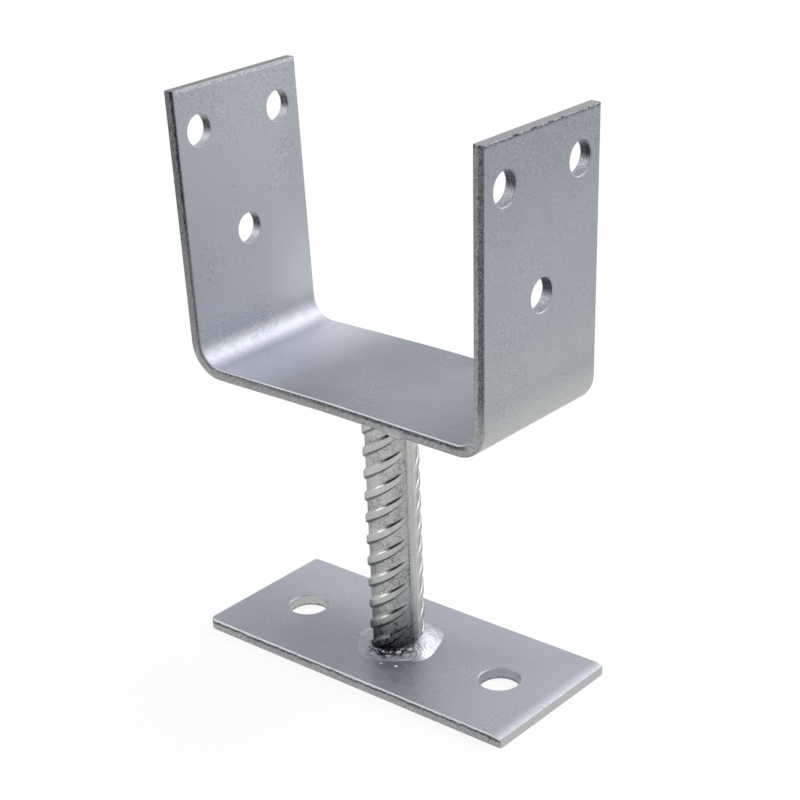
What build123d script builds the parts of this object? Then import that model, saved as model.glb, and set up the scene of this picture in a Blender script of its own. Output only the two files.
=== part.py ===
from build123d import *
import math
import os

# Post base: a flat bar bent into a channel that takes the end of a timber post,
# a length of ribbed steel bar that carries it, and a base plate that is bolted to
# the footing, with a fillet weld at each end of the ribbed bar.
# Millimetres. The origin is at the middle of the base plate's underside. X runs
# along the plate and across the channel's clear width, Y along the flat bar's
# width, and Z is up.

os.makedirs("parts", exist_ok=True)

# Channel, bent from flat bar
bar_width = 70.0
bar_thickness = 5.0
bar_edge_bevel = 0.7
clear_width = 141.0
channel_height = 118.0
bend_radius = 8.0
leg_splay = 1.6

# Bolt holes in the legs: a pair near the top and one below on the centre line
leg_hole_diameter = 13.0
leg_hole_spacing = 45.0
upper_hole_drop = 18.0
lower_hole_drop = 64.0

# Base plate, cut from flat bar
plate_length = 160.0
plate_width = 70.0
plate_thickness = 5.0
plate_edge_radius = 0.8
plate_hole_diameter = 17.0
plate_hole_spacing = 106.0

# Bevel that the punch leaves round a hole on the side where it went in
punch_bevel = 0.5

# Ribbed bar between the plate and the channel
stem_length = 117.0
core_diameter = 21.0
rib_height = 1.5
rib_pitch = 10.0
rib_angle = 33.0
rib_crest_width = 2.8
rib_base_width = 5.2
rib_span = 75.0
rib_start = 3.5
rib_row_shift = 6.1
long_rib_width = 3.2
long_rib_height = 0.8
bar_turn = -6.5

# Fillet welds: how far each reaches out from the bar, and how far along it
lower_weld_reach = 8.0
lower_weld_height = 4.0
upper_weld_reach = 4.5
upper_weld_height = 4.5

# Length of rib that the heat of welding has melted away beside each weld
melted_length = 2.5

# Levels and radii that follow from the sizes above
web_underside = plate_thickness + stem_length
web_top = web_underside + bar_thickness
leg_top = web_underside + channel_height
core_radius = core_diameter / 2
splay_sin = math.sin(math.radians(leg_splay))
splay_cos = math.cos(math.radians(leg_splay))
splay_tan = splay_sin / splay_cos


def leg_point(side, depth):
    """A point of a leg's top end, depth into the wall from its inner face."""
    inner_x = clear_width / 2 + (leg_top - web_top) * splay_tan
    return Vector(side * (inner_x + depth * splay_cos), 0, leg_top - depth * splay_sin)


def leg_plane(side):
    """The outer face of a leg, with its origin at the top and its y axis up the leg."""
    outward = Vector(side * splay_cos, 0, -splay_sin)
    return Plane(origin=leg_point(side, bar_thickness), x_dir=(0, side, 0), z_dir=outward)


# Channel: the bar's section swept along its bent centre line. The legs lean out a
# little, by the amount that the bends spring back.
corner_x = clear_width / 2 + bar_thickness / 2 * (1 / splay_cos - splay_tan)
corner_z = web_underside + bar_thickness / 2
left_end = leg_point(-1, bar_thickness / 2)
right_end = leg_point(1, bar_thickness / 2)

with BuildPart() as channel:
    with BuildLine() as bent_line:
        FilletPolyline(
            left_end,
            (-corner_x, 0, corner_z),
            (corner_x, 0, corner_z),
            right_end,
            radius=bend_radius + bar_thickness / 2,
        )
    with BuildSketch(Plane(origin=left_end, x_dir=(0, 1, 0), z_dir=bent_line.line % 0)):
        section = Rectangle(bar_width, bar_thickness)
        chamfer(section.vertices(), bar_edge_bevel)
    sweep()
    for side in (-1, 1):
        with BuildSketch(leg_plane(side)):
            with Locations(
                (-leg_hole_spacing / 2, -upper_hole_drop),
                (leg_hole_spacing / 2, -upper_hole_drop),
                (0, -lower_hole_drop),
            ):
                Circle(leg_hole_diameter / 2)
        extrude(amount=-2 * bar_thickness, mode=Mode.SUBTRACT)
        rims = channel.edges().filter_by(GeomType.CIRCLE).filter_by(
            lambda rim: abs(rim.radius - leg_hole_diameter / 2) < 0.01
            and abs(leg_plane(side).to_local_coords(rim.center(CenterOf.MASS)).Z) < 0.01
        )
        chamfer(rims, punch_bevel)
channel.part.label = "channel"

# Base plate: flat bar cut square, with two punched bolt holes
with BuildPart() as base_plate:
    with BuildSketch(Plane.YZ.offset(-plate_length / 2)):
        with Locations((0, plate_thickness / 2)):
            RectangleRounded(plate_width, plate_thickness, plate_edge_radius)
    extrude(amount=plate_length)
    with BuildSketch(Plane.XY.offset(plate_thickness)):
        with GridLocations(plate_hole_spacing, 0, 2, 1):
            Circle(plate_hole_diameter / 2)
    extrude(amount=-plate_thickness, mode=Mode.SUBTRACT)
    plate_rims = base_plate.edges().filter_by(GeomType.CIRCLE).filter_by(
        lambda rim: abs(rim.radius - plate_hole_diameter / 2) < 0.01
    )
    chamfer(plate_rims.group_by(Axis.Z)[-1], punch_bevel)
base_plate.part.label = "base_plate"


def turned(x, y, z, angle):
    """A direction in the ribbed bar's own frame, turned about its axis."""
    return Vector(x, y, z).rotate(Axis.Z, angle)


# Ribbed bar: two rows of slanted crescent ribs, which rise to the right all round,
# and a straight rib along each side where the rows meet. A crescent is a slanted
# bar of trapezoid section, cut to a cylinder whose centre lies off the bar's axis,
# so that it stands out of the core midway along the row and fades into it on both
# sides, rib_span degrees from the middle. The slanted ribs end a little short of the
# welds, where the heat has melted them away.
crest_radius = core_radius + rib_height
fade_cos = math.cos(math.radians(rib_span))
crest_offset = (crest_radius**2 - core_radius**2) / (2 * (crest_radius - core_radius * fade_cos))
rib_sin = math.sin(math.radians(rib_angle))
rib_cos = math.cos(math.radians(rib_angle))
rib_half_length = (core_radius + rib_base_width) / rib_cos
rib_reach = crest_radius + rib_height / 4
rib_tip_width = rib_crest_width - (rib_base_width - rib_crest_width) / 4
rib_rise = rib_half_length * rib_sin
rib_count = math.ceil((stem_length + 2 * rib_rise) / rib_pitch) + 1
ribs_bottom = plate_thickness + lower_weld_height + melted_length
ribs_top = web_underside - upper_weld_height - melted_length

with BuildPart() as ribbed_stem:
    for row in (0, 1):
        row_turn = bar_turn + 180 * row
        slant = turned(rib_cos, 0, rib_sin, row_turn)
        outward = turned(0, -1, 0, row_turn)
        row_start = rib_start + rib_row_shift * row
        first_rib = row_start - rib_pitch * math.ceil((rib_rise + row_start) / rib_pitch)
        for number in range(rib_count):
            level = plate_thickness + first_rib + number * rib_pitch
            foot = Vector(0, 0, level) - slant * rib_half_length
            with BuildSketch(Plane(origin=foot, x_dir=outward, z_dir=slant)):
                with BuildLine():
                    Polyline(
                        (core_radius / 4, -rib_base_width / 2),
                        (core_radius, -rib_base_width / 2),
                        (rib_reach, -rib_tip_width / 2),
                        (rib_reach, rib_tip_width / 2),
                        (core_radius, rib_base_width / 2),
                        (core_radius / 4, rib_base_width / 2),
                        close=True,
                    )
                make_face()
            extrude(amount=2 * rib_half_length)
    with BuildSketch(Plane.XY.offset(ribs_bottom)):
        with PolarLocations(crest_offset, 2, start_angle=bar_turn + 90):
            Circle(crest_radius - crest_offset)
    extrude(amount=ribs_top - ribs_bottom, mode=Mode.INTERSECT)
    with BuildSketch(Plane.XY.offset(plate_thickness)):
        Circle(core_radius)
        Rectangle(2 * (core_radius + long_rib_height), long_rib_width, rotation=bar_turn)
    extrude(amount=stem_length)
ribbed_stem.part.label = "ribbed_stem"


def weld_outline(reach, height, level):
    """Half of a weld's section, from the bar's axis out to its toe, on the XZ plane.

    The bead has a shoulder against the bar, as wide as the ribs are high.
    """
    Polyline(
        (0, level),
        (core_radius + reach, level),
        (crest_radius, level + height),
        (0, level + height),
        close=True,
    )


with BuildPart() as lower_weld:
    with BuildSketch(Plane.XZ):
        with BuildLine():
            weld_outline(lower_weld_reach, lower_weld_height, plate_thickness)
        make_face()
    revolve(axis=Axis.Z)
    add(ribbed_stem.part, mode=Mode.SUBTRACT)
lower_weld.part.label = "lower_weld"

with BuildPart() as upper_weld:
    with BuildSketch(Plane.XZ):
        with BuildLine():
            weld_outline(upper_weld_reach, -upper_weld_height, web_underside)
        make_face()
    revolve(axis=Axis.Z)
    add(ribbed_stem.part, mode=Mode.SUBTRACT)
upper_weld.part.label = "upper_weld"

export_step(channel.part, "parts/channel.step")
export_step(base_plate.part, "parts/base_plate.step")
export_step(ribbed_stem.part, "parts/ribbed_stem.step")
export_step(lower_weld.part, "parts/lower_weld.step")
export_step(upper_weld.part, "parts/upper_weld.step")
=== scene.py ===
"""Post base: flat bar channel on a ribbed steel bar, welded to a base plate.

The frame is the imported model's: X along the base plate, Y across it, Z up, origin at
the middle of the plate's underside. Materials and lights work in metres. Shapes are
worked out in millimetres and scaled once, when a mesh is made.
"""

import math
from types import SimpleNamespace

import bmesh
import bpy
import numpy as np
from mathutils import Matrix, Vector, noise


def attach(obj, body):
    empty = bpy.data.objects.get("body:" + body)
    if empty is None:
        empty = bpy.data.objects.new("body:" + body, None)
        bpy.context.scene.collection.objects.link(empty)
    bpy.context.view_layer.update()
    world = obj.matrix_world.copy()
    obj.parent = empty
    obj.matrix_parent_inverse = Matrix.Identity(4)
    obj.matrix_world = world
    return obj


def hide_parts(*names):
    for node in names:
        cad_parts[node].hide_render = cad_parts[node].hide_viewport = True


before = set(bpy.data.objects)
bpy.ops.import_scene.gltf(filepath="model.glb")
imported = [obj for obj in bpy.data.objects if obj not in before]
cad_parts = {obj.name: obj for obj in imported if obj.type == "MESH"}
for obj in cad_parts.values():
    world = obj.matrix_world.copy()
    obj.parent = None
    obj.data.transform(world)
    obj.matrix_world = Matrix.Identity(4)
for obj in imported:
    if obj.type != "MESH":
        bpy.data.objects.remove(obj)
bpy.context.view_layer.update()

MM = 0.001

# Sizes of the frame's solids, in millimetres. The slanted ribs' rise, widths and span
# are fitted to the photograph here, and differ a little from the solids' plainer ribs.
PLATE_TOP = 5.0
PLATE_END = 80.0
PLATE_HALF_WIDTH = 35.0
WEB_UNDERSIDE = 122.0
WEB_TOP = 127.0
BAR_THICKNESS = 5.0
CLEAR_WIDTH = 141.0
BEND_RADIUS = 8.0
LEG_SPLAY = math.radians(1.6)
CORE_RADIUS = 10.5
RIB_HEIGHT = 1.5
RIB_PITCH = 10.0
RIB_RISE = 0.63
RIB_CREST_WIDTH = 2.0
RIB_BASE_WIDTH = 5.4
RIB_SPAN = math.radians(77.0)
RIB_START = 3.5
RIB_ROW_SHIFT = 6.1
LONG_RIB_WIDTH = 3.2
LONG_RIB_HEIGHT = 0.8
BAR_TURN = math.radians(-6.5)
HEAD_BEAD_REACH = 4.5
HEAD_BEAD_HEIGHT = 4.5

# What the real object has and the solids don't, in millimetres. The bar stands a
# little off square: its foot lies this far off the plate's middle.
FOOT_SHIFT = np.array([-0.6, -0.55])
# How far the web sinks at its right bend, and how much rounder the left bend is
WEB_SAG = 1.7
ROUNDER = 1.8
# The short right edge of the plate: how far in and how far down it is rolled over
ROLL_REACH = 4.5
ROLL_DROP = 0.8
# The plate's corners: how far along the edges they are eased, and by how much at the
# front left one, with the share of that for the other three
CORNER_REACH = 3.0
CORNER_CUT = 0.9
OTHER_CORNERS = 0.35
# The run of zinc at the web's front edge: its middle, and how far it reaches each way
ZINC_RUN_MIDDLE = np.array([31.8, -32.9, 121.2])
ZINC_RUN_REACH = np.array([5.0, 2.05, 1.75])


# ---- Shader node helpers

def node(tree, kind, inputs=None, **settings):
    """A new shader node, with its settings made and its inputs set or linked."""
    made = tree.nodes.new(kind)
    for key, value in settings.items():
        setattr(made, key, value)
    for key, value in (inputs or {}).items():
        if isinstance(value, bpy.types.NodeSocket):
            tree.links.new(value, made.inputs[key])
        else:
            made.inputs[key].default_value = value
    return made


def maths(tree, operation, first, *others):
    """The result of a Math node, or of a chain of them that takes in one value each."""
    for other in others or (0.0,):
        made = node(tree, "ShaderNodeMath", {0: first, 1: other}, operation=operation)
        first = made.outputs[0]
    return first


def times(tree, *values):
    """Values multiplied."""
    return maths(tree, "MULTIPLY", *values)


def most(tree, *values):
    """The largest of some values."""
    return maths(tree, "MAXIMUM", *values)


def grain(tree, coords, per_metre, detail=3.0, roughness=0.5, distortion=0.0):
    """Noise between 0 and 1 with a given number of grains to the metre."""
    made = node(tree, "ShaderNodeTexNoise", {
        "Vector": coords,
        "Scale": per_metre,
        "Detail": detail,
        "Roughness": roughness,
        "Distortion": distortion,
    })
    return made.outputs["Fac"]


def wobble(tree, noise_value, reach):
    """Noise that strays to both sides of zero, over a reach in metres."""
    return times(tree, maths(tree, "SUBTRACT", noise_value, 0.5), reach)


def ramp(tree, value, low, high, to_low=0.0, to_high=1.0, smooth=True):
    """A value spread from low..high to to_low..to_high, held at both ends."""
    made = node(tree, "ShaderNodeMapRange", {
        "Value": value,
        "From Min": low,
        "From Max": high,
        "To Min": to_low,
        "To Max": to_high,
    })
    made.interpolation_type = "SMOOTHSTEP" if smooth else "LINEAR"
    return made.outputs["Result"]


def fade(tree, value, start, end, much=1.0):
    """Much where a value is below start, falling to 0 at the end."""
    return ramp(tree, value, start, end, much, 0.0)


def spread(tree, mask, low, high):
    """A mask of 0 to 1 eased to low..high."""
    return ramp(tree, mask, 0.0, 1.0, low, high)


def distance(tree, coords, place):
    """How far each point is from a place, in metres."""
    made = node(tree, "ShaderNodeVectorMath", {0: coords, 1: place}, operation="DISTANCE")
    return made.outputs["Value"]


def along(tree, coords, way):
    """How far each point lies along a direction, in metres."""
    made = node(tree, "ShaderNodeVectorMath", {0: coords, 1: way}, operation="DOT_PRODUCT")
    return made.outputs["Value"]


def attribute(tree, name):
    """A value that a mesh keeps at its points."""
    return node(tree, "ShaderNodeAttribute", attribute_name=name).outputs["Fac"]


def blend(tree, factor, first, second):
    """Two colours mixed by a factor."""
    made = tree.nodes.new("ShaderNodeMix")
    made.data_type = "RGBA"
    made.clamp_factor = True
    for socket, value in (("Factor_Float", factor), ("A_Color", first), ("B_Color", second)):
        target = next(s for s in made.inputs if s.identifier == socket)
        if isinstance(value, bpy.types.NodeSocket):
            tree.links.new(value, target)
        else:
            target.default_value = value
    return next(s for s in made.outputs if s.identifier == "Result_Color")


def layered(tree, colour, *layers):
    """A colour with others laid over it in turn, each given as (how much, colour)."""
    for much, tone in layers:
        colour = blend(tree, much, colour, tone)
    return colour


def srgb(red, green, blue):
    """A linear colour from 0..255 values as they look on screen."""
    channels = []
    for value in (red, green, blue):
        c = value / 255
        channels.append(c / 12.92 if c <= 0.04045 else ((c + 0.055) / 1.055) ** 2.4)
    return (*channels, 1.0)


def bump(tree, height, full_rise, strength, under=None):
    """The normal of a height in 0..1, whose full rise is given in metres."""
    inputs = {"Height": height, "Distance": full_rise, "Strength": strength}
    if under is not None:
        inputs["Normal"] = under
    return node(tree, "ShaderNodeBump", inputs).outputs["Normal"]


def surface(name):
    """A metal's material, its node tree and shader, and the coordinates that its tones
    depend on, as a vector and one by one."""
    made = bpy.data.materials.new(name)
    made.use_nodes = True
    tree = made.node_tree
    shader = tree.nodes["Principled BSDF"]
    shader.inputs["Metallic"].default_value = 1.0
    coords = node(tree, "ShaderNodeTexCoord").outputs["Object"]
    x, y, z = node(tree, "ShaderNodeSeparateXYZ", {"Vector": coords}).outputs
    return made, tree, shader, SimpleNamespace(coords=coords, x=x, y=y, z=z)


def freckles(tree, coords, per_metre):
    """Hard specks of dirt, between 0 and 1."""
    return ramp(tree, grain(tree, coords, per_metre, 4, 0.75), 0.42, 0.6)


# ---- Zinc on the flat bars. Depth is how deep a point lies in the bar's thickness,
# from the channel's inner face or from the plate's top.

# The rolled sides face along Y, and their tone comes in over this distance from the
# middle
SIDE = (0.0341, 0.0347)

# Where the zinc is pitted: on the right leg's outer face, and on the left leg's inner
# face above the bend and near the top
PITTED_SPOTS = (
    (0.077, -0.018, 0.144), (0.078, -0.02, 0.163), (0.0795, 0.031, 0.234),
    (0.079, -0.014, 0.226), (-0.070, -0.026, 0.136), (-0.070, 0.0, 0.137),
    (-0.074, -0.02, 0.234),
)
# The axis of the inner bend in X and Z, round which a painted sheen lightens the zinc
SHEEN_BEND = (0.0665, 0.0, 0.1310)
# The middle of the painted shadow on the plate
PLATE_SHADE = (-0.026, -0.022, 0.005)
# The punched holes of the channel: their two levels, what parts them, and the radius
LOW_HOLE, HIGH_HOLE = 0.1762, 0.2222
BETWEEN_HOLES = (0.1985, 0.1995)
HOLE_RADIUS = 0.0065


def channel_shades(tree, at):
    """Shades over the channel's face: pale above the web and at the back of the left leg;
    a painted sheen in the left bend; painted light that makes the outside paler low
    down; a painted shadow on the web beside the right leg and painted shade near that
    leg's top."""
    inside = times(
        tree, fade(tree, at.depth, 0.0008, 0.0030), fade(tree, at.x, 0.0, 0.01),
    )
    outside = ramp(tree, at.depth, 0.002, 0.004)
    section = node(tree, "ShaderNodeCombineXYZ", {
        "X": maths(tree, "ABSOLUTE", at.x), "Z": at.z,
    }).outputs[0]
    # Painted sheen: the zinc lightened round the left inner bend
    sheen = times(
        tree, fade(tree, distance(tree, section, SHEEN_BEND), 0.010, 0.052), inside,
        ramp(tree, at.z, 0.1275, 0.133, 0.95, 0.12),
    )
    # Painted shadow on the web beside the right leg
    shadow = times(
        tree, ramp(tree, at.x, 0.025, 0.065, 0.0, 0.3), fade(tree, at.z, 0.127, 0.136),
    )
    pale_back = times(
        tree, fade(tree, at.z, 0.140, 0.19, 0.34), ramp(tree, at.y, -0.005, 0.03),
        inside, ramp(tree, at.z, 0.132, 0.142),
    )
    # Painted shade: the right leg darker near its top
    top = times(
        tree, ramp(tree, at.z, 0.185, 0.24, 0.0, 0.3), ramp(tree, at.x, 0.0, 0.01),
    )
    return (
        (ramp(tree, at.z, 0.130, 0.150, 0.0, 0.42), srgb(186, 191, 198)),
        (sheen, srgb(200, 202, 214)),
        (shadow, srgb(98, 102, 112)),
        (pale_back, srgb(212, 215, 218)),
        # Painted light: the outer face paler low down
        (times(tree, fade(tree, at.z, 0.122, 0.19, 0.5), outside), srgb(186, 187, 184)),
        (times(tree, fade(tree, at.z, 0.124, 0.142, 0.6), outside), srgb(214, 216, 212)),
        (top, srgb(104, 107, 116)),
    )


def plate_shades(tree, at):
    """Painted light over the plate's face: a painted shadow towards the left end,
    paler towards the back and the right end, and a painted highlight on the right
    end's rounded edge."""
    shaded = fade(tree, distance(tree, at.coords, PLATE_SHADE), 0.0, 0.058, 0.36)
    back = ramp(tree, at.y, -0.01, 0.03, 0.0, 0.32)
    right = most(tree, ramp(tree, at.x, 0.01, 0.078, 0.0, 0.34), back)
    return (
        (shaded, srgb(96, 102, 111)),
        (right, srgb(186, 190, 202)),
        # Painted highlight along the right end's rolled edge
        (ramp(tree, at.x, 0.0745, 0.079, 0.0, 0.35), srgb(214, 216, 224)),
    )


def plate_pitted(tree, at):
    """Where the plate's zinc is pitted: in faint patches, from 0 to 1."""
    return ramp(tree, grain(tree, at.coords, 38, 3, 0.6), 0.5, 0.64)


def channel_pitted(tree, at):
    """Where the channel's zinc is pitted: in the same patches, near the tops of its
    legs, at some spots, and on the right leg's outer face."""
    spots = [
        fade(tree, distance(tree, at.coords, middle), 0.006, 0.02)
        for middle in PITTED_SPOTS
    ]
    return most(
        tree, plate_pitted(tree, at), ramp(tree, at.z, 0.224, 0.238, 0.0, 0.8), *spots,
        ramp(tree, at.x, 0.0735, 0.0745, 0.0, 0.45),
    )


def side_tone(tree, at, dark, rim):
    """A rolled side: speckled grey, black where it is dark, which on the channel is
    painted shade, and a painted highlight at its rim.
    """
    speckled = times(tree, at.specks, ramp(tree, at.x, -0.074, -0.062, 0.2, 0.44))
    # Black where it is dark: on the channel's sides this is painted shade
    dark_band = times(tree, dark, spread(tree, at.specks, 0.72, 1.0))
    return layered(
        tree, srgb(171, 173, 174),
        (speckled, srgb(76, 77, 81)), (dark_band, srgb(33, 33, 43)), (rim, srgb(212, 214, 219)),
    )


def channel_dark(tree, at):
    """How much painted shade darkens the channel's rolled sides: a ragged band beside
    the inner edge of the web and the left leg, beside the outer edge of the right leg,
    and more towards the tops of the legs."""
    ragged = wobble(tree, grain(tree, at.coords, 420, 3), 0.0016)
    inner = maths(tree, "ADD", at.depth, ragged)
    outer = maths(tree, "SUBTRACT", BAR_THICKNESS * MM, at.depth, ragged)
    up_the_leg = ramp(tree, at.z, 0.128, 0.225)

    under_rim = ramp(tree, at.depth, 0.0003, 0.0007)
    web_band = times(
        tree, fade(tree, inner, 0.0014, 0.0027), ramp(tree, at.x, -0.06, 0.03, 0.35, 0.85),
    )
    web_soft = ramp(tree, inner, 0.0, 0.0035, 0.4, 0.05)
    web = most(
        tree, times(tree, most(tree, web_band, web_soft), under_rim),
        times(tree, fade(tree, inner, 0.0009, 0.0014, 0.85), under_rim),
    )

    leg_band = times(
        tree, fade(tree, inner, 0.0007, 0.0018), spread(tree, up_the_leg, 0.25, 0.4),
    )
    left = maths(tree, "ADD", spread(tree, up_the_leg, 0.42, 0.72), leg_band)
    left = most(tree, web, times(tree, left, ramp(tree, at.z, 0.127, 0.14)))

    right = times(
        tree, fade(tree, outer, 0.0018, 0.0029), 0.78, ramp(tree, at.z, 0.125, 0.15),
    )
    right = most(tree, right, times(tree, up_the_leg, 0.42))

    on_right_leg = ramp(tree, at.x, 0.0655, 0.0685)
    both = node(tree, "ShaderNodeMix", {"Factor": on_right_leg, "A": left, "B": right})
    return both.outputs["Result"]


def channel_side(tree, at):
    """The channel's rolled sides, with a painted highlight as a bright rim along the
    web's top edge, and smooth zinc where it ran down the web's front."""
    # Painted highlight: a bright rim along the web's top edge
    rim = times(
        tree, fade(tree, at.depth, 0.0003, 0.0007, 0.75), fade(tree, at.z, 0.129, 0.136),
        ramp(tree, at.x, -0.058, -0.03, 0.25, 1.0),
    )
    tone = side_tone(tree, at, channel_dark(tree, at), rim)
    beside_run = maths(tree, "SUBTRACT", at.x, ZINC_RUN_MIDDLE[0] * MM)
    from_run = maths(tree, "ABSOLUTE", beside_run)
    run = times(tree, fade(tree, from_run, 0.002, 0.006), fade(tree, at.z, 0.1215, 0.1245))
    return blend(tree, run, tone, srgb(178, 180, 185))


def plate_side(tree, at):
    """The plate's rolled sides: a painted highlight as a bright rim over a ragged black band.
    """
    ragged = wobble(tree, grain(tree, at.coords, 240, 4, 0.65), 0.0034)
    line = maths(tree, "ADD", at.depth, ragged)
    dark = times(
        tree, ramp(tree, line, 0.0006, 0.0009), fade(tree, line, 0.0011, 0.0022, 0.9),
    )
    return side_tone(tree, at, dark, fade(tree, at.depth, 0.0003, 0.0007, 0.75))


def far_edge(tree, at):
    """Painted shade: the edges at the far side, darkened into thin lines."""
    skin_deep = most(
        tree, fade(tree, at.depth, 0.0004, 0.0008), ramp(tree, at.depth, 0.0042, 0.0046),
    )
    return times(
        tree, ramp(tree, at.y, 0.0343, 0.0347), skin_deep, spread(tree, at.specks, 0.35, 0.8),
    )


def within_thickness(tree, at):
    """The sawn and punched faces inside the thickness."""
    return times(
        tree, ramp(tree, at.depth, 0.0003, 0.0006), fade(tree, at.depth, 0.0044, 0.0047),
        fade(tree, at.beside, *SIDE),
    )


def channel_cuts(tree, at, colour):
    """The colour with the channel's cuts laid over it: burrs and nicks along the tops
    of the legs, the sawn tops, and the punched holes, with painted shade darkest at
    half their height."""
    on_right = ramp(tree, at.x, -0.01, 0.01)
    burr = times(
        tree, ramp(tree, at.z, 0.2382, 0.2390), ramp(tree, at.specks, 0.35, 0.75),
        fade(tree, at.beside, *SIDE), fade(tree, at.z, 0.2394, 0.2398), 0.8,
    )
    burr_tone = blend(tree, on_right, srgb(214, 216, 220), srgb(30, 31, 34))
    nicks = times(
        tree, ramp(tree, at.z, 0.2386, 0.2390),
        ramp(tree, grain(tree, at.coords, 420, 4, 0.7), 0.53, 0.58), on_right, 0.85,
    )
    sawn = blend(tree, on_right, srgb(126, 129, 127), srgb(158, 158, 161))
    sawn = blend(tree, times(tree, at.specks, 0.3), sawn, srgb(80, 82, 82))

    upper = ramp(tree, at.z, *BETWEEN_HOLES)
    centre = ramp(tree, upper, 0.0, 1.0, LOW_HOLE, HIGH_HOLE, smooth=False)
    level = maths(tree, "DIVIDE", maths(tree, "SUBTRACT", at.z, centre), HOLE_RADIUS)
    # Painted shade inside the punched holes, darkest at half their height
    hole_shade = times(
        tree, ramp(tree, level, -0.55, 0.0), ramp(tree, level, 0.3, 0.8, 1.0, 0.15),
        spread(tree, at.specks, 0.75, 0.95),
    )
    scuffed = times(tree, at.specks, ramp(tree, at.x, -0.01, 0.01, 0.2, 0.5))
    bore = layered(
        tree, srgb(184, 186, 194), (scuffed, srgb(84, 86, 92)), (hole_shade, srgb(44, 46, 50)),
    )
    above_bend = ramp(tree, at.z, 0.15, 0.16)
    return layered(
        tree, colour, (burr, burr_tone), (nicks, srgb(30, 31, 34)),
        (
            times(tree, within_thickness(tree, at), above_bend),
            blend(tree, ramp(tree, at.z, 0.2392, 0.2397), bore, sawn),
        ),
    )


def plate_cuts(tree, at, colour):
    """The colour with the plate's sawn ends and punched holes laid over it. The holes
    are torn black near the underside."""
    torn = times(tree, ramp(tree, at.depth, 0.0038, 0.0043), ramp(tree, at.specks, 0.2, 0.8))
    bore = blend(
        tree, ramp(tree, at.x, -0.02, 0.02), srgb(190, 192, 189), srgb(162, 163, 172),
    )
    bore = blend(tree, torn, bore, srgb(24, 25, 28))
    sawn = blend(
        tree, times(tree, at.specks, 0.22), srgb(192, 193, 192), srgb(120, 121, 122),
    )
    at_end = ramp(tree, maths(tree, "ABSOLUTE", at.x), 0.0775, 0.0785)
    return blend(tree, within_thickness(tree, at), colour, blend(tree, at_end, bore, sawn))


def flat_bar_zinc(name, tone, shade, shades, pitted, side, cuts):
    """Galvanised flat bar: a satin, faintly clouded face with freckled patches; darker,
    rougher sides, with a painted highlight at their rims and, on the channel, painted
    shade; and painted shade in thin lines along the far edges. The last four are
    functions for what one bar has to itself: shades over its face, painted light among
    them, where it is pitted, its sides, its sawn and punched faces."""
    made, tree, shader, at = surface(name)
    at.depth = attribute(tree, "depth")
    at.beside = maths(tree, "ABSOLUTE", at.y)
    at.specks = freckles(tree, at.coords, 1500)
    clouds = grain(tree, at.coords, 20, 3, 0.55)
    mottle = grain(tree, at.coords, 300, 4, 0.6)
    fine = grain(tree, at.coords, 1500, 3, 0.65)
    pits = grain(tree, at.coords, 1000, 5, 0.75)
    patch = pitted(tree, at)
    on_side = ramp(tree, at.beside, *SIDE)

    pitting = times(tree, ramp(tree, pits, 0.52, 0.66), spread(tree, patch, 0.1, 0.42))
    chalk = times(tree, ramp(tree, pits, 0.44, 0.36), spread(tree, patch, 0.04, 0.34))
    colour = layered(
        tree, shade,
        (ramp(tree, clouds, 0.36, 0.64), tone),
        *shades(tree, at),
        (ramp(tree, mottle, 0.35, 0.7, 0.0, 0.12), srgb(188, 192, 202)),
        (pitting, srgb(84, 87, 94)),
        (chalk, srgb(206, 208, 214)),
        (on_side, side(tree, at)),
        (far_edge(tree, at), srgb(62, 64, 70)),
    )
    tree.links.new(cuts(tree, at, colour), shader.inputs["Base Color"])
    tree.links.new(ramp(tree, mottle, 0.3, 0.7, 0.47, 0.56), shader.inputs["Roughness"])

    relief = maths(tree, "ADD", times(tree, fine, 0.5), times(tree, pits, 0.5))
    coarse = spread(tree, most(tree, patch, on_side), 0.45, 1.0)
    skin = bump(tree, times(tree, relief, coarse), 0.00012, 0.8)
    tree.links.new(bump(tree, mottle, 0.0001, 0.4, skin), shader.inputs["Normal"])
    return made


# ---- Zinc on the ribbed bar and the welds

# What the ribbed bar's mesh says of each point, from 0 to 1: it stands on a rib, on the
# upper flank where a slanted rib runs out (painted shade), in the crease beside a long
# rib or under a slanted one (painted shade), on the strip beside a long rib (painted
# highlight), on the painted glint where the upper flank begins
BAR_MARKS = ("rib", "lens", "seam", "lit_strip", "glint")


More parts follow.
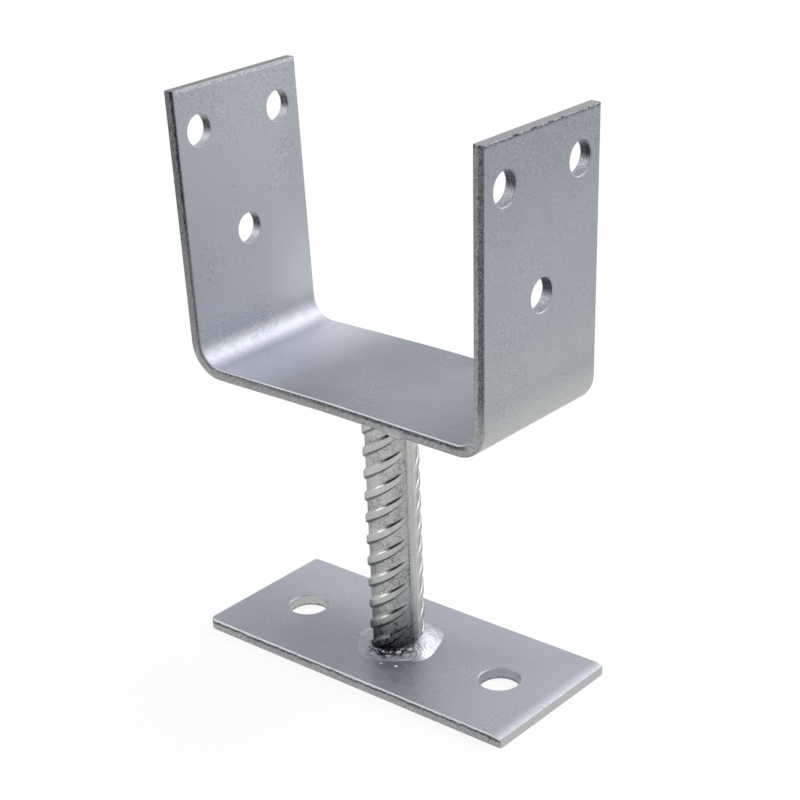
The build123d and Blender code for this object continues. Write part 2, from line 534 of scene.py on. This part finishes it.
def ribbed_zinc(name):
    """The ribbed bar's zinc: warmer and greyer, smooth on the ribs and grainy between
    them; painted shade, black along the ribs' upper flanks where they run out and in
    dotted lines in the creases; a painted highlight on a pale, smoother strip beside
    each long rib; painted glints on the flanks and at the foot; and burnt dark with
    soot spots at the foot on the front."""
    made, tree, shader, at = surface(name)
    clouds = grain(tree, at.coords, 60, 3, 0.55)
    mottle = grain(tree, at.coords, 420, 4, 0.6)
    fine = grain(tree, at.coords, 1900, 3, 0.65)
    grit = grain(tree, at.coords, 1300, 4, 0.75)
    specks = freckles(tree, at.coords, 1300)
    rib, lens, seam, lit_strip, glint = (attribute(tree, mark_name) for mark_name in BAR_MARKS)

    valley = times(tree, fade(tree, rib, 0.1, 0.5), spread(tree, lit_strip, 1.0, 0.2))
    grainy = times(
        tree, valley, ramp(tree, grit, 0.42, 0.6),
        ramp(tree, grain(tree, at.coords, 140, 3), 0.4, 0.62, 0.12, 0.7),
    )
    stretches = ramp(tree, grain(tree, at.coords, 55, 2), 0.4, 0.58, 0.35, 1.0)
    # Painted shade, broken into dots, in the creases beside the long ribs and under the slanted
    # ones
    dotted = times(tree, seam, stretches, ramp(tree, specks, 0.1, 0.7, 0.3, 0.95))
    far_side = ramp(tree, at.y, 0.004, 0.0085)
    front = fade(tree, at.y, -0.006, 0.004)
    burnt = times(tree, fade(tree, at.z, 0.008, 0.030), front)
    soot = ramp(tree, grain(tree, at.coords, 620, 4, 0.7), 0.53, 0.6)
    at_bead = times(tree, fade(tree, at.z, 0.006, 0.012, 0.85), front)
    # Painted glints at the foot
    glint_specks = times(
        tree, at_bead, ramp(tree, grain(tree, at.coords, 380, 3, 0.6), 0.6, 0.66),
        fade(tree, at.x, 0.0, 0.006),
    )
    colour = layered(
        tree, srgb(182, 184, 182),
        (ramp(tree, clouds, 0.36, 0.64), srgb(194, 196, 193)),
        (grainy, srgb(84, 86, 85)),
        (times(tree, ramp(tree, grit, 0.5, 0.66), 0.22), srgb(96, 98, 97)),
        # Painted highlight: the pale strip beside each long rib
        (times(tree, lit_strip, 0.85), srgb(206, 206, 203)),
        # Painted shade: black on the upper flanks where the ribs run out
        (lens, srgb(20, 21, 23)),
        (dotted, srgb(60, 62, 63)),
        # Painted glint where the upper flank begins
        (glint, srgb(252, 252, 252)),
        (times(tree, far_side, 0.6), srgb(118, 120, 119)),
        (times(tree, burnt, 0.85), srgb(66, 68, 76)),
        (times(tree, burnt, soot), srgb(24, 25, 30)),
        (at_bead, srgb(22, 23, 27)),
        (glint_specks, srgb(206, 208, 216)),
    )
    tree.links.new(colour, shader.inputs["Base Color"])
    shader.inputs["Specular Tint"].default_value = (0.55, 0.55, 0.55, 1.0)
    rough = maths(
        tree, "ADD", ramp(tree, mottle, 0.3, 0.7, 0.34, 0.42),
        times(tree, valley, 0.08), times(tree, lens, 0.3),
    )
    tree.links.new(rough, shader.inputs["Roughness"])

    deep = maths(tree, "ADD", times(tree, valley, 0.8), 0.2)
    skin = bump(tree, times(tree, grit, deep), 0.00014, 0.7)
    tree.links.new(bump(tree, fine, 0.00002, 0.5, skin), shader.inputs["Normal"])
    return made


# Which way the foot bead's brightest lobe, with its painted highlight, lies from the bar
BRIGHT_LOBE = (0.62, -0.78, 0.0)


def weld_zinc(name, bright_side, starts):
    """Weld metal under zinc: matt and spread on one side, bright and silvery on the
    other, where the bead stands in stacked ripples, with soot between; a painted
    highlight on its brightest lobe, painted shade in its crevices and painted glints
    among the soot."""
    made, tree, shader, at = surface(name)
    mottle = grain(tree, at.coords, 500, 4, 0.65)
    fine = grain(tree, at.coords, 1800, 3, 0.6)
    crevice, messy = attribute(tree, "crevice"), attribute(tree, "messy")
    strays = wobble(tree, grain(tree, at.coords, 180, 3), 0.012)
    aim = maths(tree, "ADD", along(tree, at.coords, bright_side), strays)
    bright = ramp(tree, aim, starts, starts + 0.007)
    lobe = times(tree, ramp(tree, along(tree, at.coords, BRIGHT_LOBE), 0.0095, 0.0135), bright)

    matt = blend(tree, ramp(tree, mottle, 0.35, 0.7), srgb(156, 160, 169), srgb(140, 145, 154))
    silver = blend(
        tree, ramp(tree, mottle, 0.4, 0.7), srgb(178, 180, 190), srgb(148, 150, 161),
    )
    soot = ramp(tree, grain(tree, at.coords, 420, 4, 0.7, 1.0), 0.6, 0.66)
    burnt = ramp(tree, grain(tree, at.coords, 330, 4, 0.65, 1.5), 0.5, 0.57)
    # Painted glints among the soot
    glint_specks = ramp(tree, grain(tree, at.coords, 520, 3, 0.6), 0.6, 0.66)
    colour = layered(
        tree, matt,
        (bright, silver),
        # Painted highlight on the bright lobe
        (times(tree, lobe, 0.5), srgb(216, 217, 224)),
        (times(tree, soot, messy, 0.9), srgb(34, 35, 42)),
        (times(tree, burnt, messy, 0.95), srgb(20, 21, 26)),
        (times(tree, glint_specks, messy, 0.8), srgb(226, 228, 236)),
        # Painted shade in the crevices and round the drops' feet
        (times(tree, crevice, 0.85), srgb(26, 27, 32)),
    )
    tree.links.new(colour, shader.inputs["Base Color"])
    rough = ramp(tree, bright, 0.0, 1.0, 0.5, 0.4, smooth=False)
    tree.links.new(rough, shader.inputs["Roughness"])
    skin = bump(tree, mottle, 0.00008, 0.5)
    tree.links.new(bump(tree, fine, 0.00003, 0.5, skin), shader.inputs["Normal"])
    return made


channel_zinc = flat_bar_zinc(
    "channel_zinc_skin", srgb(150, 154, 163), srgb(141, 145, 153),
    channel_shades, channel_pitted, channel_side, channel_cuts,
)
plate_zinc = flat_bar_zinc(
    "plate_zinc_skin", srgb(154, 159, 168), srgb(146, 151, 160),
    plate_shades, plate_pitted, plate_side, plate_cuts,
)
stem_zinc = ribbed_zinc("ribbed_bar_zinc_skin")
foot_zinc = weld_zinc("foot_bead_skin", (0.99, 0.14, 0.0), -0.001)
head_zinc = weld_zinc("head_bead_skin", (0.3, 0.95, 0.0), 0.0)


# ---- Mesh helpers

def piece(name, verts, faces, material):
    """A smooth mesh object from points in millimetres, riding on the body."""
    mesh = bpy.data.meshes.new(name)
    mesh.from_pydata((np.asarray(verts, float) * MM).tolist(), [], faces)
    mesh.validate()
    mesh.update()
    mesh.shade_smooth()
    made = bpy.data.objects.new(name, mesh)
    bpy.context.scene.collection.objects.link(made)
    mesh.materials.append(material)
    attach(made, "root")
    return made


def smoothstep(value, low, high):
    """0 below low, 1 above high, and a smooth rise between; arrays too."""
    t = np.clip((np.asarray(value, float) - low) / (high - low), 0, 1)
    return t * t * (3 - 2 * t)


def wrapped(angle):
    """An angle brought between -pi and pi; arrays too."""
    return (angle + math.pi) % (2 * math.pi) - math.pi


def turbulence(x, y, z, scale):
    """Smooth noise between about -1 and 1."""
    return noise.noise(Vector((x * scale, y * scale, z * scale)))


def mark(mesh, name, values):
    """A value at each point of a mesh, for its material to read."""
    layer = mesh.attributes.new(name, "FLOAT", "POINT")
    layer.data.foreach_set("value", np.asarray(values, np.float32))


def points_of(mesh):
    """A mesh's points as an array."""
    flat = np.empty(len(mesh.vertices) * 3)
    mesh.vertices.foreach_get("co", flat)
    return flat.reshape(-1, 3)


def cut_mesh(mesh, cuts_x, cuts_y):
    """A mesh's flat faces joined, then cut across X and across Y at some places."""
    work = bmesh.new()
    work.from_mesh(mesh)
    bmesh.ops.remove_doubles(work, verts=work.verts, dist=1e-6)
    bmesh.ops.dissolve_limit(
        work, angle_limit=math.radians(0.5), verts=work.verts, edges=work.edges,
    )
    cuts = [((place * MM, 0, 0), (1, 0, 0)) for place in cuts_x]
    cuts += [((0, place * MM, 0), (0, 1, 0)) for place in cuts_y]
    for where, facing in cuts:
        everything = work.verts[:] + work.edges[:] + work.faces[:]
        bmesh.ops.bisect_plane(work, geom=everything, plane_co=where, plane_no=facing)
    work.to_mesh(mesh)
    work.free()


# How the flat bars' edges are softened, in millimetres, and what counts as an edge
EDGE_ROUNDING = 0.25
EDGE_ANGLE = math.radians(25)


def dressed_copy(node_name, name, material, cuts_x, cuts_y, reshape, depth_of):
    """A copy of a node's solid with its edges softened, cut across X and across Y at
    some places and reshaped there. Its points keep how deep they lie in the bar's
    thickness."""
    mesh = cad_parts[node_name].data.copy()
    mesh.name = name
    mesh.materials.clear()
    mesh.materials.append(material)
    cut_mesh(mesh, cuts_x, cuts_y)
    points = points_of(mesh)
    mark(mesh, "depth", depth_of(points))
    mesh.vertices.foreach_set("co", (reshape(points / MM) * MM).reshape(-1))
    mesh.update()
    mesh.shade_smooth()
    made = bpy.data.objects.new(name, mesh)
    bpy.context.scene.collection.objects.link(made)
    soft = made.modifiers.new("soft_edges", "BEVEL")
    soft.width = EDGE_ROUNDING * MM
    soft.segments = 2
    soft.limit_method = "ANGLE"
    soft.angle_limit = EDGE_ANGLE
    soft.use_clamp_overlap = True
    flats = made.modifiers.new("flat_faces", "WEIGHTED_NORMAL")
    flats.keep_sharp = False
    flats.weight = 60
    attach(made, "root")
    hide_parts(node_name)
    return made


# ---- Channel and base plate

def channel_depth(points):
    """How deep each point lies in the channel's wall, from its inner face, in metres."""
    across, level = np.abs(points[:, 0]) / MM, points[:, 2] / MM
    on_web = WEB_TOP - level
    lean = (across - CLEAR_WIDTH / 2) * math.cos(LEG_SPLAY)
    on_leg = lean - (level - WEB_TOP) * math.sin(LEG_SPLAY)
    out_x = across - (CLEAR_WIDTH / 2 - BEND_RADIUS)
    down_z = WEB_TOP + BEND_RADIUS - level
    round_bend = np.hypot(out_x, down_z) - BEND_RADIUS
    depth = np.where(out_x < 0, on_web, np.where(down_z < 0, on_leg, round_bend))
    return np.clip(depth, 0, BAR_THICKNESS) * MM


def plate_depth(points):
    """How deep each point lies below the plate's top, in metres."""
    return PLATE_TOP * MM - points[:, 2]


def bent_channel(points):
    """The channel as it was really bent: the web sinks a little towards its right
    bend, and its left bend is rounder than the right one. Millimetres."""
    x, z = points[:, 0], points[:, 2]
    out = points.copy()
    below = smoothstep(z, 165.0, 145.0)
    out[:, 2] -= WEB_SAG * smoothstep(x, -15.0, 75.0) * below

    bend_x, bend_z = -(CLEAR_WIDTH / 2 - BEND_RADIUS), WEB_TOP + BEND_RADIUS
    radius = np.hypot(x - bend_x, z - bend_z)
    in_bend = (x < bend_x + 0.01) & (z < bend_z + 0.5)
    wide = (radius + ROUNDER) / np.where(radius > 0, radius, 1)
    out[:, 0] = np.where(in_bend, bend_x + ROUNDER + (x - bend_x) * wide, out[:, 0])
    out[:, 2] = np.where(in_bend, bend_z + ROUNDER + (z - bend_z) * wide, out[:, 2])
    return out


def rolled_plate(points):
    """The base plate with its short right edge rolled over and its corners eased."""
    out = points.copy()
    x, y, z = points.T
    rolled = np.clip((x - PLATE_END + ROLL_REACH) / ROLL_REACH, 0, 1)
    out[:, 2] -= ROLL_DROP * rolled ** 2 * (z / PLATE_TOP)
    beside = np.clip((np.abs(y) - PLATE_HALF_WIDTH + CORNER_REACH) / CORNER_REACH, 0, 1)
    end = np.clip((np.abs(x) - PLATE_END + CORNER_REACH) / CORNER_REACH, 0, 1)
    much = CORNER_CUT * np.where((x < 0) & (y < 0), 1.0, OTHER_CORNERS)
    out[:, 0] -= np.sign(x) * much * beside ** 2 * end
    out[:, 1] -= np.sign(y) * much * 0.7 * end ** 2 * beside
    return out


web_cuts = range(-15, 62, 4)
roll_cuts = [PLATE_END - ROLL_REACH * k / 6 for k in range(1, 7)]
left_cuts = [CORNER_REACH * k / 3 - PLATE_END for k in range(1, 4)]
side_cuts = [
    side * (PLATE_HALF_WIDTH - CORNER_REACH * k / 3) for side in (-1, 1) for k in range(1, 4)
]
dressed_copy(
    "channel", "channel_bar", channel_zinc,
    web_cuts, (), bent_channel, channel_depth,
)
dressed_copy(
    "base_plate", "plate_bar", plate_zinc,
    roll_cuts + left_cuts, side_cuts, rolled_plate, plate_depth,
)


# ---- Ribbed bar

# A slanted rib's crest is an arc that fades into the core: its circle's radius, and how
# far the circle's centre lies off the bar's axis
crest_radius = CORE_RADIUS + RIB_HEIGHT
crest_offset = (crest_radius ** 2 - CORE_RADIUS ** 2) / (
    2 * (crest_radius - CORE_RADIUS * math.cos(RIB_SPAN))
)
crest_circle = crest_radius - crest_offset

# Angles from the middle of a slanted rib, in degrees: where its upper flank begins to
# run out and has done so, which sets its painted shade, where it ends, and where its
# painted glint comes and goes
RUN_OUT = (14, 44)
RUN_OUT_END = 60
SPOT_COMES = (8, 16)
SPOT_GOES = (36, 24)
# The painted glints die away up the bar between these levels
SPOT_LEVELS = (96.0, 84.0)
# The strip of painted highlight beside a long rib: where it comes and goes, in millimetres of
# arc
LIT_STRIP_COMES = (1.4, 2.4)
LIT_STRIP_GOES = (8.2, 6.0)


def degrees_step(angle, low, high):
    """A smooth step of an angle, with its limits in degrees."""
    return smoothstep(angle, math.radians(low), math.radians(high))


def bar_surface(angle, level):
    """The ribbed bar's radius at an angle round its axis and a level, with its marks
    as BAR_MARKS names them. Arrays in, arrays out."""
    radius = np.full(np.shape(angle), CORE_RADIUS)
    rib, lens, seam, lit_strip, glint = (np.zeros(np.shape(angle)) for _ in BAR_MARKS)
    for row in (0, 1):
        off = wrapped(angle - (BAR_TURN - math.pi / 2 + math.pi * row))
        room = crest_circle ** 2 - (crest_offset * np.sin(off)) ** 2
        fade_out = crest_offset * np.cos(off) + np.sqrt(room) - CORE_RADIUS
        fade_out = np.where(np.abs(off) < RIB_SPAN, np.maximum(fade_out, 0), 0)
        start = PLATE_TOP + RIB_START + RIB_ROW_SHIFT * row
        rise = (level - start) - CORE_RADIUS * off * RIB_RISE
        signed = (rise + RIB_PITCH / 2) % RIB_PITCH - RIB_PITCH / 2
        from_middle = np.abs(signed) * math.cos(math.atan(RIB_RISE))
        narrowing = 0.5 + 0.5 * fade_out / RIB_HEIGHT
        flank = (RIB_BASE_WIDTH - RIB_CREST_WIDTH) / 2 * narrowing
        up = smoothstep(RIB_BASE_WIDTH / 2 * narrowing - from_middle, 0, flank)
        radius = np.maximum(radius, CORE_RADIUS + np.minimum(RIB_HEIGHT * up, fade_out))
        rib = np.maximum(rib, up * smoothstep(fade_out, 0.0, 0.5))

        # Painted shade on the upper flank where a rib runs out, and under a slanted rib
        on_flank = np.clip(4.6 * up * (1 - up), 0, 1) * smoothstep(fade_out, 0.0, 0.15)
        running_out = degrees_step(off, *RUN_OUT)
        narrow_end = smoothstep(off, RIB_SPAN, math.radians(RUN_OUT_END))
        lens = np.maximum(lens, np.where(signed > 0, on_flank * running_out * narrow_end, 0))
        # seam: painted shade on the lower flank under a slanted rib
        seam = np.maximum(seam, np.where(signed < 0, 0.45 * on_flank ** 3, 0))
        # The painted glint on the upper flank's shoulder
        spot = degrees_step(off, *SPOT_COMES) * degrees_step(off, *SPOT_GOES)
        spot = spot * smoothstep(level, *SPOT_LEVELS)
        shoulder = smoothstep(up, 0.5, 0.75) * smoothstep(up, 0.99, 0.85)
        glint = np.maximum(glint, np.where(signed > 0, shoulder * spot, 0))
    for turn in (0, math.pi):
        off = wrapped(angle - BAR_TURN - turn)
        edge = LONG_RIB_WIDTH / 2 - np.abs(CORE_RADIUS * np.sin(off))
        lift = LONG_RIB_HEIGHT * smoothstep(edge, 0, 0.45)
        near = np.abs(off) < math.pi / 2
        radius = np.maximum(radius, np.where(near, CORE_RADIUS + lift, 0))
        rib = np.maximum(rib, np.where(near, lift / LONG_RIB_HEIGHT, 0))
        # Painted shade in the crease beside a long rib, and a painted highlight on the strip
        # past it
        arc = CORE_RADIUS * off
        seam = np.maximum(seam, 0.9 * np.exp(-(((arc + LONG_RIB_WIDTH / 2) / 0.3) ** 2)))
        lit_strip = np.maximum(lit_strip, smoothstep(arc, *LIT_STRIP_COMES) * smoothstep(arc, *LIT_STRIP_GOES))
    return radius, rib, lens, seam, lit_strip, glint


# The ribbed bar's grid: columns round the bar, and the step between its rows
BAR_COLUMNS = 220
BAR_STEP = 0.32


def ribbed_bar():
    """A grid wrapped round the bar, with its rows running along the slanted ribs."""
    columns, step = BAR_COLUMNS, BAR_STEP
    lead_rows = round(2 * math.pi * CORE_RADIUS * RIB_RISE / step)
    low, high = PLATE_TOP, WEB_UNDERSIDE
    rows = math.ceil((high - low) / step) + lead_rows + 1
    column = np.arange(columns + 1)[:, None]
    row = np.arange(rows)[None, :]
    angle = column * (2 * math.pi / columns) + 0 * row
    level = low + (row - lead_rows) * step + column * (lead_rows * step / columns)
    level = np.clip(level, low, high)
    radius, *marks = bar_surface(angle, level)
    points = np.stack([radius * np.cos(angle), radius * np.sin(angle), level], axis=-1)
    points[..., :2] += FOOT_SHIFT * (high - level[..., None]) / (high - low)
    verts = points[:columns].reshape(-1, 3)
    faces = []
    for c in range(columns):
        for r in range(rows - 1):
            a, b = c * rows + r, c * rows + r + 1
            if c + 1 < columns:
                d, e = (c + 1) * rows + r, (c + 1) * rows + r + 1
            else:
                # the last column joins the first, one lead higher up
                d, e = r + lead_rows, r + lead_rows + 1
                if e >= rows:
                    continue
            # rows that were clipped to the foot or the head have no height
            if len({level[c, r], level[c, r + 1], level[c + 1, r], level[c + 1, r + 1]}) == 1:
                continue
            faces.append((a, d, e, b))
    made = piece("ribbed_bar", verts, faces, stem_zinc)
    for mark_name, values in zip(BAR_MARKS, marks):
        mark(made.data, mark_name, values[:columns].reshape(-1))
    work = bmesh.new()
    work.from_mesh(made.data)
    bmesh.ops.remove_doubles(work, verts=work.verts, dist=1e-7)
    bmesh.ops.holes_fill(work, edges=work.edges)
    bmesh.ops.recalc_face_normals(work, faces=work.faces)
    work.to_mesh(made.data)
    work.free()
    made.data.shade_smooth()
    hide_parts("ribbed_stem")


ribbed_bar()


# ---- Weld beads

# A bead begins inside the bar, at this radius. Past its toe it runs on a little, and
# sinks that far into the face that it lies on.
BEAD_START = 10.0
PAST_TOE = 0.4
SUNK = 0.15
# The bead's ripples: their pitch along the bead, and their depth
RIPPLE_PITCH = 1.9
RIPPLE_DEPTH = 0.13
LUMP_HEIGHT = 1.1
# Two crevices, darkened with painted shade, where the front of the foot bead meets
# the plate: the angle in degrees and the radius; then their depth and their half width
CREVICES = ((-44, 17.6), (-58, 18.6))
CREVICE_DEPTH = 0.5
CREVICE_HALF_WIDTH = 0.35
# Drops of weld metal on the plate: place and radius
SPATTER = (
    (5.9, -19.6, 0.55), (12.4, -17.6, 0.8), (-1.0, -21.6, 0.6),
    (-17.5, -6.6, 0.5), (-19.6, 3.2, 0.45),
)


def hump(angle, at, width):
    """A smooth hump of height 1 at an angle in degrees, of a width in degrees."""
    return math.exp(-((wrapped(angle - math.radians(at)) / math.radians(width)) ** 2))


def foot_toe(angle):
    """The foot bead's uneven toe: its distance from the bar's axis."""
    lobes = 3.0 * hump(angle, -102, 24) + 2.3 * hump(angle, -18, 20) + 2.2 * hump(angle, 62, 20)
    lobes += 1.6 * hump(angle, -165, 14) - 1.6 * hump(angle, 96, 18)
    uneven = 0.5 * turbulence(math.cos(angle) * 3, math.sin(angle) * 3, 0.7, 1.0)
    return 17.4 + lobes + uneven


def foot_height(angle):
    """The foot bead's height: high at the right and at the back, low at the left."""
    return 3.0 + 2.3 * math.cos(wrapped(angle - math.radians(50)))


def head_toe(angle):
    """The head bead's toe: its distance from the bar's axis."""
    return CORE_RADIUS + HEAD_BEAD_REACH - 0.4 + 0.4 * math.sin(2 * angle)


def head_height(angle):
    """The head bead's height."""
    return HEAD_BEAD_HEIGHT - 0.3 + 0.3 * math.cos(3 * angle)


def bead(name, toe, height, level, up, ripple_side, material, seed,
         lumpy_side=None, crevices=(), drops=()):
    """A ring of weld metal on the face at a level, from inside the bar out to its toe.
    up is 1 on top of the face and -1 under it. The sides where it is rippled and
    lumpy are angles in degrees."""
    around, out = 360, 72
    verts, faces, dark, mess = [], [], [], []
    for i in range(around):
        angle = 2 * math.pi * i / around
        reach = toe(angle)
        tall = height(angle)
        facing = math.cos(wrapped(angle - math.radians(ripple_side)))
        rippled = float(smoothstep(facing, 0.1, 0.6))
        lumpy = hump(angle, lumpy_side, 38) if lumpy_side is not None else 0.0
        front = rippled * hump(angle, -32, 26)
        for j in range(out):
            t = j / (out - 1)
            r = BEAD_START + t * (reach + PAST_TOE - BEAD_START)
            x, y = r * math.cos(angle), r * math.sin(angle)
            # s is 0 at the bar and 1 at the toe
            s = min(max((r - CORE_RADIUS) / (reach - CORE_RADIUS), 0.0), 1.0)
            hill = math.sin(math.pi * min(s * 1.1, 1.0))
            near_bar = math.sin(math.pi * min(s * 1.5, 1.0))
            body = tall * (1 - s) ** 1.15 * (1 + 0.55 * s)

            bent = 1.6 * turbulence(x, y, seed, 0.22) + 0.5 * turbulence(x, y, seed + 5, 0.6)
            arc = angle * 14.0 + 5.0 * (s - 0.4) ** 2 * 2 + bent
            wave = 1 - abs(math.sin(arc / RIPPLE_PITCH * math.pi)) ** 0.7
            body -= rippled * RIPPLE_DEPTH * wave * hill
            body += 0.4 * (1 - rippled * 0.6) * turbulence(x, y, seed + 3, 0.28) * hill
            body += 0.05 * turbulence(x, y, seed + 9, 1.3) * hill
            lump = turbulence(x, y, seed + 12, 0.6)
            body += lumpy * LUMP_HEIGHT * lump * near_bar

            # How much painted shade darkens the ripples' troughs, the hollows between lumps and
            # the crevice lines
            crevice = front * max(wave - 0.5, 0) * 1.6 * hill
            crevice += lumpy * max(-lump, 0) * 4.5 * near_bar
            for at, radius in crevices:
                from_line = (r - radius) / CREVICE_HALF_WIDTH
                line = hump(angle, at, 7) * math.exp(-(from_line ** 2))
                body -= CREVICE_DEPTH * line
                crevice += line
            if r > reach:
                body = -SUNK * (r - reach) / PAST_TOE
            verts.append((x, y, level + up * max(body, -SUNK)))
            dark.append(min(crevice, 1.0))
            mess.append(min(lumpy * (1 - s) * 2.0, 1.0) * float(smoothstep(s, 0.98, 0.85)))
    for i in range(around):
        n = (i + 1) % around
        for j in range(out - 1):
            quad = (i * out + j, i * out + j + 1, n * out + j + 1, n * out + j)
            faces.append(quad if up > 0 else quad[::-1])
    for x, y, radius in drops:
        add_drop(verts, faces, dark, x, y, level, radius)
    made = piece(name, verts, faces, material)
    mark(made.data, "crevice", np.clip(dark, 0, 1))
    mark(made.data, "messy", mess + [0.0] * (len(verts) - len(mess)))
    return made


def add_drop(verts, faces, dark, x, y, level, radius):
    """A flattened drop with painted shade in a ring round its foot."""
    first = len(verts)
    around, rings = 20, 6
    for k in range(rings + 1):
        out = radius * (1.25 if k == 0 else math.cos(math.pi / 2 * (k - 1) / rings))
        rise = -0.05 if k == 0 else 0.75 * radius * math.sin(math.pi / 2 * (k - 1) / rings)
        for i in range(around):
            turn = 2 * math.pi * i / around
            across, back = out * math.cos(turn), 0.85 * out * math.sin(turn)
            verts.append((x + across, y + back, level + rise))
            dark.append(1.0 if k < 2 else 0.0)
    verts.append((x, y, level + 0.75 * radius))
    dark.append(0.0)
    top = len(verts) - 1
    for k in range(rings):
        for i in range(around):
            n = (i + 1) % around
            a, b = first + k * around + i, first + k * around + n
            faces.append((a, b, b + around, a + around))
    for i in range(around):
        n = (i + 1) % around
        faces.append((first + rings * around + i, first + rings * around + n, top))


foot_bead = bead(
    "foot_bead", foot_toe, foot_height, PLATE_TOP, 1, 15, foot_zinc, 1.0,
    lumpy_side=-74, crevices=CREVICES, drops=SPATTER,
)
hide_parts("lower_weld")
head_bead = bead(
    "head_bead", head_toe, head_height, WEB_UNDERSIDE, -1, 75, head_zinc, 5.0,
)
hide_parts("upper_weld")


def zinc_run():
    """A drop of zinc that hangs from the web's front edge."""
    around, rings = 36, 14
    verts, faces = [], []
    for k in range(rings + 1):
        tilt = math.pi * (k + 0.5) / (rings + 1)
        for turn in np.arange(around) * (2 * math.pi / around):
            flat = math.sin(tilt)
            way = np.array([flat * math.cos(turn), flat * math.sin(turn), -math.cos(tilt)])
            bulge = 1 - 0.12 * abs(turbulence(way[0] * 2, way[1], way[2], 1.5))
            verts.append(ZINC_RUN_MIDDLE + ZINC_RUN_REACH * way * bulge)
    for k in range(rings):
        for i in range(around):
            a, b = k * around + i, k * around + (i + 1) % around
            faces.append((a, b, b + around, a + around))
    faces.append(tuple(range(around))[::-1])
    faces.append(tuple(rings * around + i for i in range(around)))
    made = piece("zinc_run", verts, faces, stem_zinc)
    mark(made.data, "rib", np.ones(len(verts)))


zinc_run()


# ---- Floor, light and camera, in metres

WHITE = (1.0, 1.0, 1.0, 1.0)
FLOOR_REACH = 6.0
# Just under the plate, so that the two never lie in one plane
FLOOR_LEVEL = -2e-5
# How white the floor looks near the object, and the distances over which it turns white
FLOOR_NEAR = 0.86
FLOOR_FADE = (0.07, 0.22)
AMBIENT = 0.7
LAMPS_AIM = Vector((0.0, 0.0, 0.12))
# Name, place, size, power in watts
LAMPS = (
    ("back_softbox", (0.57, 0.94, 0.87), 1.2, 9.5),
    ("low_back_softbox", (-0.80, 0.92, 0.10), 0.8, 1.0),
    ("top_softbox", (-0.9, -0.6, 1.0), 0.8, 2.5),
)


def seen_rays(tree):
    """1 for rays that come from the camera, from a gloss or through glass, else 0."""
    rays = node(tree, "ShaderNodeLightPath").outputs
    return most(
        tree, rays["Is Camera Ray"], rays["Is Glossy Ray"], rays["Is Transmission Ray"],
    )


def studio_floor():
    """A wide pale floor that keeps the object's shadow."""
    mesh = bpy.data.meshes.new("floor")
    corners = ((-1, -1), (1, -1), (1, 1), (-1, 1))
    verts = [(x * FLOOR_REACH, y * FLOOR_REACH, FLOOR_LEVEL) for x, y in corners]
    mesh.from_pydata(verts, [], [(0, 1, 2, 3)])
    floor = bpy.data.objects.new("floor", mesh)
    bpy.context.scene.collection.objects.link(floor)
    made = bpy.data.materials.new("studio_floor")
    made.use_nodes = True
    tree = made.node_tree
    tree.nodes.clear()
    place = node(tree, "ShaderNodeTexCoord").outputs["Object"]
    away = node(tree, "ShaderNodeVectorMath", {0: place}, operation="LENGTH").outputs["Value"]
    white = times(tree, seen_rays(tree), ramp(tree, away, *FLOOR_FADE, FLOOR_NEAR, 1.0))
    matt = node(tree, "ShaderNodeBsdfDiffuse", {"Color": WHITE}).outputs[0]
    glow = node(tree, "ShaderNodeEmission", {"Color": WHITE, "Strength": 1.0}).outputs[0]
    mixed = node(tree, "ShaderNodeMixShader", {0: white, 1: matt, 2: glow}).outputs[0]
    node(tree, "ShaderNodeOutputMaterial", {"Surface": mixed})
    mesh.materials.append(made)


def studio_light():
    """A white surround and large soft lamps above and behind."""
    world = bpy.data.worlds.new("studio")
    bpy.context.scene.world = world
    world.use_nodes = True
    tree = world.node_tree
    tree.nodes.clear()
    ambient = node(tree, "ShaderNodeBackground", {"Color": WHITE, "Strength": AMBIENT})
    white = node(tree, "ShaderNodeBackground", {"Color": WHITE, "Strength": 1.0})
    mixed = node(tree, "ShaderNodeMixShader", {
        0: seen_rays(tree), 1: ambient.outputs[0], 2: white.outputs[0],
    })
    node(tree, "ShaderNodeOutputWorld", {"Surface": mixed.outputs[0]})

    for name, place, size, power in LAMPS:
        data = bpy.data.lights.new(name, "AREA")
        data.shape = "SQUARE"
        data.size = size
        data.energy = power
        lamp = bpy.data.objects.new(name, data)
        lamp.location = place
        facing = LAMPS_AIM - Vector(place)
        lamp.rotation_euler = facing.to_track_quat("-Z", "Y").to_euler()
        bpy.context.scene.collection.objects.link(lamp)


# The photograph's camera, fitted to the object's edges and holes
CAMERA_EYE = (0.46321, -0.52441, 0.41026)
CAMERA_AZIMUTH = 42.610
CAMERA_ELEVATION = 24.148
CAMERA_ROLL = -3.181
FOCAL_PIXELS = 1887.38
CENTRE_X_PIXELS = 356.28
CENTRE_Y_PIXELS = 445.96
IMAGE_PIXELS = 800.0
SENSOR_MM = 36.0


def studio_camera():
    """The camera at the photograph's viewing angle."""
    data = bpy.data.cameras.new("camera")
    data.sensor_width = SENSOR_MM
    data.lens = FOCAL_PIXELS * SENSOR_MM / IMAGE_PIXELS
    data.shift_x = 0.5 - CENTRE_X_PIXELS / IMAGE_PIXELS
    data.shift_y = CENTRE_Y_PIXELS / IMAGE_PIXELS - 0.5
    data.clip_start = 0.05
    data.clip_end = 30.0
    camera = bpy.data.objects.new("camera", data)
    turn = Matrix.Rotation(math.radians(CAMERA_AZIMUTH), 4, "Z")
    tilt = Matrix.Rotation(math.radians(90 - CAMERA_ELEVATION), 4, "X")
    roll = Matrix.Rotation(math.radians(CAMERA_ROLL), 4, "Z")
    camera.matrix_world = Matrix.Translation(CAMERA_EYE) @ turn @ tilt @ roll
    bpy.context.scene.collection.objects.link(camera)
    bpy.context.scene.camera = camera


studio_floor()
studio_light()
studio_camera()
bpy.context.scene.view_settings.view_transform = "Standard"
